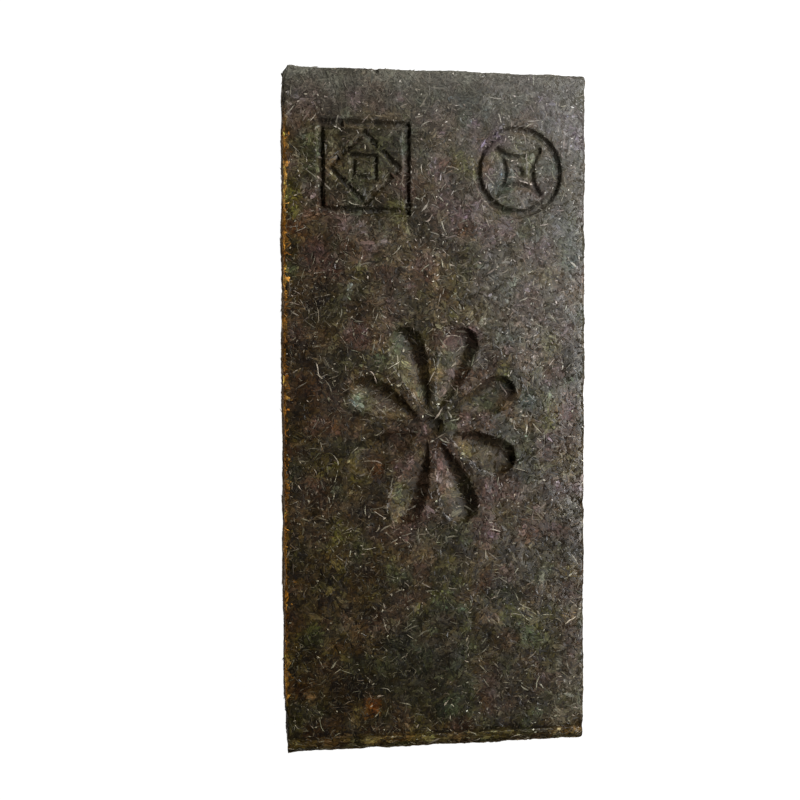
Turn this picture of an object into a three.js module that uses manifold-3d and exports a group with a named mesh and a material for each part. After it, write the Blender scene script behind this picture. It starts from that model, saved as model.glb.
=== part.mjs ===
// A pressed brick of green tea, lying on its back with the stamped face up.
// Millimetres, +Z up. X runs across the brick, Y along it. The origin is the middle of the underside.
import * as THREE from "three";
import { mergeVertices } from "three/addons/utils/BufferGeometryUtils.js";
import Module from "manifold-3d";

// The brick as it comes out of the mould, at its widest.
const brick = { width: 153, length: 340, thickness: 38 };

// Plan radius of each upright corner. The far left one is broken off along a slant instead.
const corner = { farRight: 5, nearRight: 4, nearLeft: 3 };
const brokenCorner = { across: 3.2, along: 4.8 };

// The plan outline is set in a little so that the swelling and the waves of the sides end at the
// full width, and it is cut into steps of about this length.
const outline = { inset: 0.7, step: 6.2, cornerSteps: 5 };
const sideWaves = [
  { cycles: 5, height: 0.26, phase: 0.6 },
  { cycles: 13, height: 0.18, phase: 2.1 },
  { cycles: 31, height: 0.12, phase: 4.4 },
];
const swelling = 0.5;
const faceEdge = { drop: 1.7, reach: 2.1 };
const backEdge = { drop: 1.3, reach: 1.5 };
const edgeSteps = 3;
const sideSteps = 3;

// The near edge of the face slopes away in a ragged rim.
const rim = { width: 6, drop: 1.5, wander: 0.7, cycles: 4.3, steps: 22 };

// Bites where crumbs have broken from the edge: place along the outline's sides, and size.
const bites = [
  { x: 74.6, y: -164.6, radius: 2.6 },
  { x: 76.2, y: -49, radius: 1.9 },
  { x: 76, y: 93, radius: 1.7 },
  { x: -31, y: 169.4, radius: 1.8 },
  { x: 24, y: 169.6, radius: 1.6 },
  { x: -76.2, y: 61, radius: 1.6 },
];

// The large stamp: a rosette of channels, each pointed inwards and round outwards.
const rosette = {
  x: -2,
  y: -8,
  petals: 8,
  innerReach: 9,
  reachAcross: 45,
  reachAlong: 53,
  halfWidth: 9.2,
  depth: 4.8,
  tipShare: 0.15,
  fullness: 0.8,
  eyeRadius: 4.8,
  eyeDepth: 2.4,
};
const petalSteps = { taper: 7, round: 5, across: 8 };
const petalOverrun = 1.12;
const petalFall = 1.8;

// The two small stamps, drawn in plain grooves.
const groove = { wide: 3.2, narrow: 2.6, deep: 1.9, shallow: 1.5 };
const squareStamp = { x: -37, y: 121, half: 21.6, lozenge: 17.6, innerHalf: 5.4 };
const roundStamp = { x: 42, y: 121, radius: 21, innerRadius: 17, dotRadius: 2.6, steps: 16 };

const headroom = 1;
const top = brick.thickness;

const wasm = await Module();
wasm.setup();

// A closed mesh as a solid that can be cut.
function solidFrom(geometry) {
  const bare = geometry.index ? geometry.toNonIndexed() : geometry.clone();
  bare.deleteAttribute("normal");
  bare.deleteAttribute("uv");
  const merged = mergeVertices(bare, 1e-4);
  return new wasm.Manifold(
    new wasm.Mesh({
      numProp: 3,
      vertProperties: new Float32Array(merged.attributes.position.array),
      triVerts: new Uint32Array(merged.index.array),
    }),
  );
}

function geometryFrom(solid) {
  const mesh = solid.getMesh();
  const geometry = new THREE.BufferGeometry();
  geometry.setAttribute("position", new THREE.BufferAttribute(mesh.vertProperties, 3));
  geometry.setIndex(new THREE.BufferAttribute(mesh.triVerts, 1));
  geometry.computeVertexNormals();
  return geometry;
}

// A closed skin over rings of equal length, each ring running anticlockwise seen from the last one.
function skinOver(rings) {
  const count = rings[0].length;
  const centres = [rings[0], rings[rings.length - 1]].map((ring) =>
    ring.reduce((sum, p) => sum.add(p), new THREE.Vector3()).divideScalar(count),
  );
  const points = [...rings.flat(), ...centres];
  const firstCentre = rings.length * count;
  const lastRing = (rings.length - 1) * count;
  const faces = [];
  for (let i = 0; i < count; i++) {
    const next = (i + 1) % count;
    for (let r = 0; r < lastRing; r += count) {
      faces.push(r + i, r + next, r + count + next, r + i, r + count + next, r + count + i);
    }
    faces.push(firstCentre, next, i, firstCentre + 1, lastRing + i, lastRing + next);
  }
  const geometry = new THREE.BufferGeometry().setFromPoints(points);
  geometry.setIndex(faces);
  return geometry;
}

// The plan outline, anticlockwise from the near left corner, with its outward directions.
function planOutline() {
  const x = brick.width / 2 - outline.inset;
  const y = brick.length / 2 - outline.inset;
  const { farRight, nearRight, nearLeft } = corner;
  const points = [];
  const side = (fromX, fromY, toX, toY) => {
    const from = new THREE.Vector2(fromX, fromY);
    const to = new THREE.Vector2(toX, toY);
    const steps = Math.max(1, Math.round(from.distanceTo(to) / outline.step));
    for (let i = 0; i < steps; i++) points.push(from.clone().lerp(to, i / steps));
  };
  const round = (centreX, centreY, radius, startTurn) => {
    for (let i = 0; i < outline.cornerSteps; i++) {
      const angle = 0.5 * Math.PI * (startTurn + i / outline.cornerSteps);
      const away = new THREE.Vector2(Math.cos(angle), Math.sin(angle)).multiplyScalar(radius);
      points.push(away.add(new THREE.Vector2(centreX, centreY)));
    }
  };
  round(-x + nearLeft, -y + nearLeft, nearLeft, 2);
  side(-x + nearLeft, -y, x - nearRight, -y);
  round(x - nearRight, -y + nearRight, nearRight, 3);
  side(x, -y + nearRight, x, y - farRight);
  round(x - farRight, y - farRight, farRight, 0);
  side(x - farRight, y, -x + brokenCorner.across, y);
  side(-x + brokenCorner.across, y, -x, y - brokenCorner.along);
  side(-x, y - brokenCorner.along, -x, -y + nearLeft);
  return points.map((point, i) => {
    const before = points[(i + points.length - 1) % points.length];
    const after = points[(i + 1) % points.length];
    const along = after.clone().sub(before).normalize();
    return { point, outward: new THREE.Vector2(along.y, -along.x), share: i / points.length };
  });
}

function wander(share) {
  return sideWaves.reduce(
    (sum, wave) => sum + wave.height * Math.sin(2 * Math.PI * wave.cycles * share + wave.phase),
    0,
  );
}

// Heights and insets from the underside to the face: a worn edge, a swelling side and a worn edge.
function sideProfile() {
  const profile = [];
  for (let i = 0; i <= edgeSteps; i++) {
    const turn = (i / edgeSteps) * 0.5 * Math.PI;
    profile.push({ z: backEdge.drop * (1 - Math.cos(turn)), inset: backEdge.reach * (1 - Math.sin(turn)) });
  }
  for (let i = 1; i <= sideSteps; i++) {
    const share = i / (sideSteps + 1);
    const z = THREE.MathUtils.lerp(backEdge.drop, top - faceEdge.drop, share);
    profile.push({ z, inset: -swelling * Math.sin(Math.PI * share) });
  }
  for (let i = 0; i <= edgeSteps; i++) {
    const turn = (i / edgeSteps) * 0.5 * Math.PI;
    profile.push({
      z: top - faceEdge.drop * (1 - Math.sin(turn)),
      inset: faceEdge.reach * (1 - Math.cos(turn)),
    });
  }
  return profile;
}

function slab() {
  const plan = planOutline();
  const rings = sideProfile().map(({ z, inset }) =>
    plan.map(({ point, outward, share }) => {
      const place = point.clone().addScaledVector(outward, wander(share) - inset);
      return new THREE.Vector3(place.x, place.y, z);
    }),
  );
  return solidFrom(skinOver(rings));
}

// A wedge along the near edge whose inner line wanders.
function rimCutter() {
  const halfWidth = brick.width / 2 + 2;
  const outside = -brick.length / 2 - 2;
  const rings = [];
  for (let i = 0; i <= rim.steps; i++) {
    const share = i / rim.steps;
    const x = THREE.MathUtils.lerp(-halfWidth, halfWidth, share);
    const turn = 2 * Math.PI * rim.cycles * share;
    const wave = Math.sin(turn) + 0.5 * Math.sin(2.5 * turn);
    const inner = -brick.length / 2 + rim.width + rim.wander * wave;
    const slope = rim.drop / rim.width;
    rings.push([
      new THREE.Vector3(x, outside, top + headroom),
      new THREE.Vector3(x, outside, top - slope * (inner - outside)),
      new THREE.Vector3(x, inner + headroom / slope, top + headroom),
    ]);
  }
  return solidFrom(skinOver(rings));
}

function bite({ x, y, radius }) {
  const geometry = new THREE.IcosahedronGeometry(radius, 1);
  geometry.scale(1, 1.3, 1.5);
  geometry.translate(x, y, top);
  return solidFrom(geometry);
}

// Places along a petal's axis with the half width there: a sine taper, then a half circle.
function petalPlan(length) {
  const { halfWidth, fullness } = rosette;
  const straight = length - halfWidth;
  const plan = [];
  for (let i = 0; i < petalSteps.taper; i++) {
    const share = i / petalSteps.taper;
    plan.push({ along: straight * share, half: halfWidth * Math.sin(0.5 * Math.PI * share) ** fullness });
  }
  for (let i = 0; i < petalSteps.round; i++) {
    const turn = (i / (petalSteps.round - 0.8)) * 0.5 * Math.PI;
    plan.push({ along: straight + halfWidth * Math.sin(turn), half: halfWidth * Math.cos(turn) });
  }
  return plan;
}

// One channel of the rosette, deepest along its middle and shallow where it is narrow.
function petalCutter(angle) {
  const { halfWidth, depth, tipShare, innerReach, reachAcross, reachAlong } = rosette;
  const reach = new THREE.Vector2(reachAcross * Math.cos(angle), reachAlong * Math.sin(angle));
  const length = reach.length() - innerReach;
  const along = reach.clone().normalize();
  const across = new THREE.Vector2(-along.y, along.x);
  const rings = petalPlan(length).map((place) => {
    const share = Math.max(place.half / halfWidth, tipShare);
    const ring = [];
    for (let i = 0; i <= petalSteps.across; i++) {
      const side = petalOverrun * ((2 * i) / petalSteps.across - 1);
      const fall = depth * share * (1 - Math.abs(side) ** petalFall);
      const plan = along
        .clone()
        .multiplyScalar(innerReach + place.along)
        .addScaledVector(across, side * halfWidth * share);
      ring.push(new THREE.Vector3(rosette.x + plan.x, rosette.y + plan.y, top - fall));
    }
    return ring;
  });
  return solidFrom(skinOver(rings));
}

// A closed plan shape sunk into the face.
function sunk(shape, depth, steps = 12) {
  const geometry = new THREE.ExtrudeGeometry(shape, {
    depth: depth + headroom,
    bevelEnabled: false,
    curveSegments: steps,
  });
  geometry.translate(0, 0, top - depth);
  return solidFrom(geometry);
}

function disc(x, y, radius) {
  return new THREE.Shape().absarc(x, y, radius, 0, 2 * Math.PI, false);
}

function ringShape(x, y, radius, width) {
  const shape = disc(x, y, radius + width / 2);
  shape.holes.push(new THREE.Path().absarc(x, y, radius - width / 2, 0, 2 * Math.PI, true));
  return shape;
}

// A square groove on its side or on its point. Its reach runs from the middle to a side when it
// lies on its side, and to a corner when it stands on its point.
function squareLoop(x, y, reach, width, onPoint) {
  const stretch = onPoint ? 1 : Math.SQRT2;
  const start = onPoint ? 0 : 0.25 * Math.PI;
  const corners = (offset) =>
    [0, 1, 2, 3].map((i) => {
      const angle = start + 0.5 * Math.PI * i;
      const distance = reach * stretch + offset * Math.SQRT2;
      return new THREE.Vector2(x + distance * Math.cos(angle), y + distance * Math.sin(angle));
    });
  const shape = new THREE.Shape(corners(width / 2));
  shape.holes.push(new THREE.Path(corners(-width / 2).reverse()));
  return shape;
}

// An arc of groove that bows towards the middle of the round stamp.
function bowShape(angle) {
  const { x, y, innerRadius } = roundStamp;
  const far = innerRadius * Math.SQRT2;
  const centre = new THREE.Vector2(x + far * Math.cos(angle), y + far * Math.sin(angle));
  const shape = new THREE.Shape();
  const from = angle + 0.75 * Math.PI;
  const to = angle + 1.25 * Math.PI;
  shape.absarc(centre.x, centre.y, innerRadius + groove.narrow / 2, from, to, false);
  shape.absarc(centre.x, centre.y, innerRadius - groove.narrow / 2, to, from, true);
  return shape;
}

function stampCutters() {
  const cutters = [];
  for (let i = 0; i < rosette.petals; i++) {
    cutters.push(petalCutter(((i + 0.5) * 2 * Math.PI) / rosette.petals));
  }
  cutters.push(sunk(disc(rosette.x, rosette.y, rosette.eyeRadius), rosette.eyeDepth));
  const { x, y, half, lozenge, innerHalf } = squareStamp;
  cutters.push(sunk(squareLoop(x, y, half, groove.wide, false), groove.deep));
  cutters.push(sunk(squareLoop(x, y, lozenge, groove.narrow, true), groove.shallow));
  cutters.push(sunk(squareLoop(x, y, innerHalf, groove.narrow, false), groove.shallow));
  const round = roundStamp;
  cutters.push(sunk(ringShape(round.x, round.y, round.radius, groove.wide), groove.deep, round.steps));
  for (let i = 0; i < 4; i++) {
    cutters.push(sunk(bowShape((i * Math.PI) / 2), groove.shallow));
  }
  cutters.push(sunk(disc(round.x, round.y, round.dotRadius), groove.shallow));
  return cutters;
}

function teaBrick() {
  let solid = slab();
  for (const cutter of [rimCutter(), ...bites.map(bite), ...stampCutters()]) {
    solid = solid.subtract(cutter);
  }
  const geometry = geometryFrom(solid);
  geometry.computeBoundingBox();
  const middle = geometry.boundingBox.getCenter(new THREE.Vector3());
  geometry.translate(-middle.x, -middle.y, 0);
  const tea = new THREE.MeshStandardMaterial({ color: 0x3a3226, roughness: 0.8, metalness: 0 });
  const mesh = new THREE.Mesh(geometry, tea);
  mesh.name = "tea_brick";
  return mesh;
}

const part = new THREE.Group();
part.add(teaBrick());

export default part;
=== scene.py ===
import math

import bpy
import numpy as np
from mathutils import Matrix, Vector
from mathutils.geometry import delaunay_2d_cdt


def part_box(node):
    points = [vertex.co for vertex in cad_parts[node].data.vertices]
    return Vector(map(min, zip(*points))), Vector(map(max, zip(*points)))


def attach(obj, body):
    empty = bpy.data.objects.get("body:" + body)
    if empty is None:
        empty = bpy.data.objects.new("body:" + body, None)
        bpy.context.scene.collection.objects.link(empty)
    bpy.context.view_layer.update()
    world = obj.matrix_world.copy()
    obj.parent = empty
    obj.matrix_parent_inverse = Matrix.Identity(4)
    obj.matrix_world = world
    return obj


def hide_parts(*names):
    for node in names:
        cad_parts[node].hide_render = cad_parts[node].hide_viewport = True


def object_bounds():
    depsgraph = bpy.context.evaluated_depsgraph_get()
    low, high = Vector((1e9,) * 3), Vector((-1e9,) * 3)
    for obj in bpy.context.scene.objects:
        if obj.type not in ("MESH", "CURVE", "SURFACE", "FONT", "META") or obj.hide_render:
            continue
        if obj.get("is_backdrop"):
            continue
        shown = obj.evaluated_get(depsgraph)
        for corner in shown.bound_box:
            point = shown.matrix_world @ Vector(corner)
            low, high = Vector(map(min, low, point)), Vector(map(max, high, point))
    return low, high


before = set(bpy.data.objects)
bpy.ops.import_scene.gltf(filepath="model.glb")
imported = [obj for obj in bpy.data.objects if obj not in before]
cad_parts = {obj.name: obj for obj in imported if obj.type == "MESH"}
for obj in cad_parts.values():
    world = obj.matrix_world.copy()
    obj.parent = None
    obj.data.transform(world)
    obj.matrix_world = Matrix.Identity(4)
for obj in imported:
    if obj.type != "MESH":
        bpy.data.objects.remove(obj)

# Everything below is worked out in millimetres and put into the meshes in metres.
mm = 0.001
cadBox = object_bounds()
lowCorner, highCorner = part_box("tea_brick")


cameraView = {
    "lens": 45.0,
    "sensor": 36,
    "clip": (0.01, 20),   # metres
    "lookAt": (-18.93, 5.03, 38.0),
    "distance": 502.8,
    "swing": 8.02,   # degrees to the brick's left
    "tilt": 1.01,    # degrees towards its far end
    "roll": 0.23,
}


def makeCamera(view):
    # Looking straight down with +Y up, then rolled about Z, swung to the left about Y and tilted about X.
    turn = (
        Matrix.Rotation(math.radians(view["roll"]), 3, "Z")
        @ Matrix.Rotation(math.radians(view["swing"]), 3, "Y")
        @ Matrix.Rotation(math.radians(view["tilt"]), 3, "X")
    ).transposed()
    data = bpy.data.cameras.new("camera")
    data.lens = view["lens"]
    data.sensor_width = view["sensor"]
    data.clip_start, data.clip_end = view["clip"]
    camera = bpy.data.objects.new("camera", data)
    camera.rotation_euler = turn.to_euler()
    camera.location = (Vector(view["lookAt"]) + turn @ Vector((0, 0, view["distance"]))) * mm
    bpy.context.scene.collection.objects.link(camera)
    bpy.context.scene.camera = camera
    print("camera ready")


studio = {
    "world": 0.036,
    "worldColour": (1.0, 0.84, 0.58),
    "floor": {"size": 24000, "colour": 0.1, "roughness": 0.9, "specular": 0.1, "glow": 1.0},
    "lamps": {   # width and height of each lamp's panel, its power, and whether surfaces mirror it
        "key": {
            "place": (450, 480, 370), "aim": (0, 20, 38), "size": (300, 300), "power": 7.35, "gloss": False,
        },
        "strip": {
            "place": (490, 110, 720), "aim": (60, 90, 38), "size": (860, 100), "power": 6.0, "gloss": True,
        },
    },
}


def makeFloor(settings):
    # A plain square that glows evenly.
    material = bpy.data.materials.new("floor")
    material.use_nodes = True
    inputs = material.node_tree.nodes["Principled BSDF"].inputs
    tone = settings["colour"]
    inputs["Base Color"].default_value = (tone, tone, tone, 1)
    inputs["Roughness"].default_value = settings["roughness"]
    inputs["Specular IOR Level"].default_value = settings["specular"]
    inputs["Emission Color"].default_value = (1, 1, 1, 1)
    inputs["Emission Strength"].default_value = settings["glow"]
    reach = settings["size"] / 2 * mm
    mesh = bpy.data.meshes.new("floor")
    mesh.from_pydata([(-reach, -reach, 0), (reach, -reach, 0), (reach, reach, 0), (-reach, reach, 0)],
                     [], [(0, 1, 2, 3)])
    mesh.materials.append(material)
    floor = bpy.data.objects.new("floor", mesh)
    bpy.context.scene.collection.objects.link(floor)
    floor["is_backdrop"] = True


def makeStudio(settings):
    # A dim warm world, the floor, and a panel lamp for each entry, aimed at its point.
    scene = bpy.context.scene
    scene.view_settings.view_transform = "Standard"
    world = bpy.data.worlds.new("studio")
    world.use_nodes = True
    background = world.node_tree.nodes["Background"]
    background.inputs["Color"].default_value = (*settings["worldColour"], 1)
    background.inputs["Strength"].default_value = settings["world"]
    scene.world = world
    makeFloor(settings["floor"])
    for name, lamp in settings["lamps"].items():
        light = bpy.data.lights.new(name, "AREA")
        light.shape = "RECTANGLE"
        light.size, light.size_y = lamp["size"][0] * mm, lamp["size"][1] * mm
        light.energy = lamp["power"]
        holder = bpy.data.objects.new(name, light)
        holder.location = Vector(lamp["place"]) * mm
        direction = Vector(lamp["aim"]) - Vector(lamp["place"])
        holder.rotation_euler = direction.to_track_quat("-Z", "Y").to_euler()
        holder.visible_glossy = lamp["gloss"]
        scene.collection.objects.link(holder)
    print("studio ready")


makeCamera(cameraView)
makeStudio(studio)


hashing = {   # large odd numbers scatter what they multiply
    "cell": (374761393, 668265263, 1103515245),
    "seed": 974711,
    "folds": ((13, 1274126177), (16, 2246822519)),   # places to shift by, and a large number
    "lastFold": 15,
    "wholeWord": 0xFFFFFFFF,
}


def hashed(i, j, k, seed):
    # The cell's three whole numbers and the seed, each times a large number, are summed. The sum is
    # folded over onto itself and multiplied twice, kept to 32 bits, and brought to -1 to 1.
    first, second, third = hashing["cell"]
    n = i * first + j * second + k * third + seed * hashing["seed"]
    for places, large in hashing["folds"]:
        n = ((n ^ (n >> places)) * large) & hashing["wholeWord"]
    return (n ^ (n >> hashing["lastFold"])) / (hashing["wholeWord"] // 2) - 1


octaveShift = 31.7   # in cells, so that the octaves' corners don't lie on one another


def cloud(points, size, seed, octaves=2):
    # Hashed values at the corners of cells of the given size, blended by smoothed distances,
    # plus finer octaves at half the size and half the strength.
    total, strength, whole = 0, 1.0, 0.0
    for octave in range(octaves):
        q = points / (size / 2 ** octave) + octaveShift * (octave + 1)
        cell = np.floor(q).astype(np.int64)
        part = q - cell
        part = part * part * (3 - 2 * part)
        value = 0
        for dx, dy, dz in np.ndindex(2, 2, 2):
            share = (
                (part[..., 0] if dx else 1 - part[..., 0])
                * (part[..., 1] if dy else 1 - part[..., 1])
                * (part[..., 2] if dz else 1 - part[..., 2])
            )
            value = value + share * hashed(
                cell[..., 0] + dx, cell[..., 1] + dy, cell[..., 2] + dz, seed + octave
            )
        total = total + strength * value
        whole += strength
        strength *= 0.5
    return total / whole


def smoothStep(low, high, value):
    # Nothing at low and one at high, with 3 s squared less 2 s cubed of the share s between them.
    share = np.clip((value - low) / (high - low), 0, 1)
    return share * share * (3 - 2 * share)


brick = {
    "inset": (-0.35, -0.6, 0.3),   # how far the body stays inside the solid's box, or below nought outside
    "rounding": (1.8, 1.8, 1.1),
    "lowest": 0.35,
    # a seed, how finely the cells follow across, along and up, and the sizes and heights
    "waves": (11, (1, 1, 0.6), ((68, 0.5), (26, 0.35))),
    "lumps": (23, (1, 1, 1), ((17, 0.3), (5.5, 0.13), (2.2, 0.06))),
    "sideLumps": (37, (1, 1, 1.8), ((7, 0.4), (2.6, 0.22))),
    "flatterBack": 0.6,   # how much lower the lumps are on the back
}

rim = {
    "width": 6.2, "drop": 1.5, "furthest": 1.2,   # the slope ends this many widths past the line
    "wander": 1.6, "cloud": (16, 71, 3),
    "crack": 0.55, "crackBand": (-0.3, 0.9, 2.2),   # its depth, and where it starts, is deepest and ends
}

brokenCorner = {   # its slant lies a little outside the solid's, leaving room to be rough
    "across": 3.2, "along": 4.8, "outer": 0.9, "rough": 0.5, "cloud": (2.5, 53),
}

wornSide = {"length": 20, "fade": 3, "depth": 1.7}   # the left side is worn back at its near end

bites = (
    (74.6, -164.6, 2.8),
    (76.2, -49, 1.9),
    (76.0, 93, 1.7),
    (-31, 169.4, 1.8),
    (24, 169.6, 1.6),
    (-76.2, 61, 1.6),
)
biteShape = (1, 1.3, 1.5)   # how far each bite reaches across, along and down, in its own radius

rosette = {
    "centre": (-2, -8),
    "petals": 8,
    "innerReach": 9,
    "reachAcross": 45,
    "reachAlong": 53,
    "halfWidth": 9.2,
    "depth": 4.9,
    "fullness": 0.8,
    "power": 1.5,
    "shallower": 0.8,   # how the depth follows the width towards the ends, as a power
    "lean": 0.3,        # how far the deepest line lies towards the far right, as a share of the half width
    "eyeRadius": 4.8,
    "eyeDepth": 2.4,
    "eyePower": 3,
}

squareStamp = {"centre": (-37, 121), "half": 21.6, "lozenge": 17.6, "inner": 5.4}
roundStamp = {"centre": (42, 121), "radius": 21, "bow": 17, "dot": 2.6}
groove = {"wide": (3.2, 2.1), "narrow": (2.5, 1.6), "wall": 1.4}   # width and depth, and a wall's width
waver = {"reach": 0.25, "across": (6, 41), "along": (6, 43)}   # of the stamps' lines
upShare = (0.0, 0.6)   # where the surface's direction is upwards enough for the stamps
inStamp = (0.1, 0.7)   # from what depth on, and to which, a place counts as in a stamp

size = np.array(highCorner - lowCorner) / mm
half = size / 2 - np.array(brick["inset"])
rounding = np.array(brick["rounding"])
middle = size[2] / 2
tiny = 1e-3


def petalDepth(x, y):
    # Each petal is a channel along its own axis. Its half width is a sine taper, then a half circle,
    # and its depth falls off from its deepest line as one minus a power of the share of the way to its
    # edge. That line leans to the far right, so the wall there is steeper.
    halfWidth, lean = rosette["halfWidth"], rosette["lean"]
    deepest = np.zeros_like(x)
    for i in range(rosette["petals"]):
        angle = (i + 0.5) * 2 * math.pi / rosette["petals"]
        reach = np.array([rosette["reachAcross"] * math.cos(angle), rosette["reachAlong"] * math.sin(angle)])
        length = np.hypot(*reach) - rosette["innerReach"]
        ux, uy = reach / np.hypot(*reach)
        along = x * ux + y * uy - rosette["innerReach"]
        across = (y * ux - x * uy) * (1 if ux > uy else -1)
        straight = length - halfWidth
        taper = np.sin(0.5 * math.pi * np.clip(along / straight, 0, 1)) ** rosette["fullness"]
        end = np.sqrt(np.clip(1 - ((along - straight) / halfWidth) ** 2, 0, 1))
        share = np.where(along < straight, taper, end)
        off = across / np.maximum(halfWidth * share, tiny) - lean
        off = np.abs(off) / np.where(off > 0, 1 - lean, 1 + lean)
        fall = 1 - off ** rosette["power"]
        depth = rosette["depth"] * share ** rosette["shallower"] * np.clip(fall, 0, 1)
        deepest = np.maximum(deepest, depth)
    return deepest


def grooveDepth(distance, width, depth):
    # Full depth along a line, half of it at half the width, and nothing past the sloping walls.
    wall = groove["wall"] / 2
    return depth * smoothStep(width / 2 + wall, width / 2 - wall, distance)


def stampDepth(x, y):
    # How far the stamps sink into the face: the deepest of every groove and channel at each point.
    rx, ry = x - rosette["centre"][0], y - rosette["centre"][1]
    eye = np.hypot(rx, ry) / rosette["eyeRadius"]
    eye = rosette["eyeDepth"] * np.clip(1 - eye ** rosette["eyePower"], 0, 1)
    depth = np.maximum(petalDepth(rx, ry), eye)

    sx, sy = np.abs(x - squareStamp["centre"][0]), np.abs(y - squareStamp["centre"][1])
    square, lozenge = np.maximum(sx, sy), (sx + sy) / math.sqrt(2)
    cx, cy = x - roundStamp["centre"][0], y - roundStamp["centre"][1]
    away = np.hypot(cx, cy)
    lines = [   # how far each line is, with its width and depth
        (square - squareStamp["half"], groove["wide"]),
        (lozenge - squareStamp["lozenge"] / math.sqrt(2), groove["narrow"]),
        (square - squareStamp["inner"], groove["narrow"]),
        (away - roundStamp["radius"], groove["wide"]),
        (away, (2 * roundStamp["dot"], groove["narrow"][1])),
    ]
    far = roundStamp["bow"] * math.sqrt(2)
    for angle in 0.5 * math.pi * np.arange(4):
        bow = np.hypot(cx - far * math.cos(angle), cy - far * math.sin(angle)) - roundStamp["bow"]
        lines.append((np.where(away < roundStamp["bow"], bow, np.inf), groove["narrow"]))
    for distance, (width, deep) in lines:
        depth = np.maximum(depth, grooveDepth(np.abs(distance), width, deep))
    return depth


def stampShare(place):
    # From nothing on the plain face to one inside a stamp.
    return smoothStep(*inStamp, stampDepth(place[..., 0], place[..., 1]))


def rimDrop(y, flat):
    # Beyond a wandering line near the near edge the face slopes down, and a narrow crack follows the line.
    line = -size[1] / 2 + rim["width"] + rim["wander"] * cloud(flat * [1, 0, 0], *rim["cloud"])
    past = line - y
    slope = rim["drop"] * np.clip(past / rim["width"], 0, rim["furthest"])
    start, deepest, end = rim["crackBand"]
    return slope + rim["crack"] * smoothStep(start, deepest, past) * smoothStep(end, deepest, past)


def roundedBox(flat):
    # Each point of the sharp box goes to one that lies out from a smaller box by the rounding, an
    # ellipsoid's radius at the corners. The direction out is that ellipsoid's own.
    reach = np.clip(flat, -(half - rounding), half - rounding)
    away = (flat - reach) / rounding
    away /= np.linalg.norm(away, axis=-1, keepdims=True)
    outward = away / rounding
    outward /= np.linalg.norm(outward, axis=-1, keepdims=True)
    return reach + away * rounding + [0, 0, middle], outward


def withRelief(place, outward, topShare):
    # Waves push the sides in and out, each on top of the last. Lumps then push every place along its
    # direction out, lower ones on the back and extra ones on the sides.
    backShare = np.clip(-outward[..., 2], 0, 1)
    seed, finer, sizes = brick["waves"]
    for waveSize, height in sizes:
        place = place + outward * [1, 1, 0] * height * cloud(place * finer, waveSize, seed, 1)[..., None]
    shares = {
        "lumps": 1 - brick["flatterBack"] * backShare,
        "sideLumps": np.clip(1 - topShare - backShare, 0, 1),
    }
    lump = 0
    for kind, share in shares.items():
        seed, finer, sizes = brick[kind]
        for lumpSize, height in sizes:
            lump = lump + height * cloud(place * finer, lumpSize, seed, 1) * share
    return place + outward * lump[..., None]


def withBreaks(place, outward):
    # The left side's near end is worn back. What is past a slanting plane at the far left corner goes
    # back to it, and what is within a bite's radius goes in by how far within.
    fromWorn = place[..., 1] + size[1] / 2 - wornSide["length"]
    worn = wornSide["depth"] * smoothStep(0, -wornSide["fade"], fromWorn)
    place = place + [1, 0, 0] * (worn * np.clip(-outward[..., 0], 0, 1))[..., None]
    slant = np.array([-brokenCorner["along"], brokenCorner["across"], 0])
    slant = slant / np.hypot(*slant[:2])
    corner = np.array([-size[0] / 2 + brokenCorner["across"], size[1] / 2, 0]) @ slant
    rough = brokenCorner["rough"] * cloud(place, *brokenCorner["cloud"])
    past = place @ slant - corner - brokenCorner["outer"] + rough
    place = place - slant * np.clip(past, 0, None)[..., None]
    for bx, by, radius in bites:
        gap = (place - [bx, by, size[2]]) / biteShape
        deep = np.clip(radius - np.linalg.norm(gap, axis=-1), 0, None)
        place = place - outward * deep[..., None]
    return place


def brickSurface(flat):
    # A point on a sharp box, centred, to its place on the brick and the direction out of it. The box is
    # rounded, gets its waves and lumps, is pressed down by the stamps and the rim, and then broken.
    place, outward = roundedBox(flat)
    topShare = np.clip(outward[..., 2], 0, 1)
    place = withRelief(place, outward, topShare)
    x = place[..., 0] + waver["reach"] * cloud(place, *waver["across"])
    y = place[..., 1] + waver["reach"] * cloud(place, *waver["along"])
    sunk = (stampDepth(x, y) + rimDrop(y, flat)) * smoothStep(*upShare, topShare)
    place = withBreaks(place - sunk[..., None] * [0, 0, 1], outward)
    place[..., 2] = np.maximum(place[..., 2], brick["lowest"])
    return place, outward


palette = {   # colour, the seed of the cloud that spreads it, and how much it is favoured
    "brown": ((0.049, 0.0305, 0.0100), 101, 0.10),
    "purple": ((0.050, 0.0275, 0.0180), 103, 0.18),
    "greenGrey": ((0.030, 0.0325, 0.0148), 107, 0.12),
    "olive": ((0.042, 0.0345, 0.0068), 109, -0.02),
    "rust": ((0.066, 0.0275, 0.0085), 113, -0.20),
    "black": ((0.014, 0.0097, 0.0034), 127, 0.06),
}
patch = {
    "size": 11, "sharpness": 5.5,
    "shades": ((24, 0.08), (12, 0.32), (6, 0.60), (3, 0.75)),   # size and strength of the shades
    "shadeSeed": 151,
    "lightDrift": (0.14, 0.27),   # painted light: how much lighter the right and the far end are than the middle
    "sheenGreying": ((0, 0.07, 0.27), (0, 0.06, 0.35)),   # and how much greyer they are from painted sheen, in red, green and blue
    "paling": (0.86, 1.0, 1.38),   # how far red, green and blue follow the shade: what is paler is greyer
    "evener": ((-0.3, 0.9), 0.35),   # where the far right starts to have evener shades, and how even
    "blueness": (0.30, (0, -0.12, 1)),   # how much bluer or yellower patches get, in red, green and blue
    # painted shade: where the near end starts to be darker, where that stops at the right, and how dark it
    # gets
    "nearEnd": ((-60, -120), (70, 45), (0.13, 0.07, 0.13)),
    "facing": (0, 0.6),   # how far a place has to face up for this greyer and darker colour of painted sheen and shade
}
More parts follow.
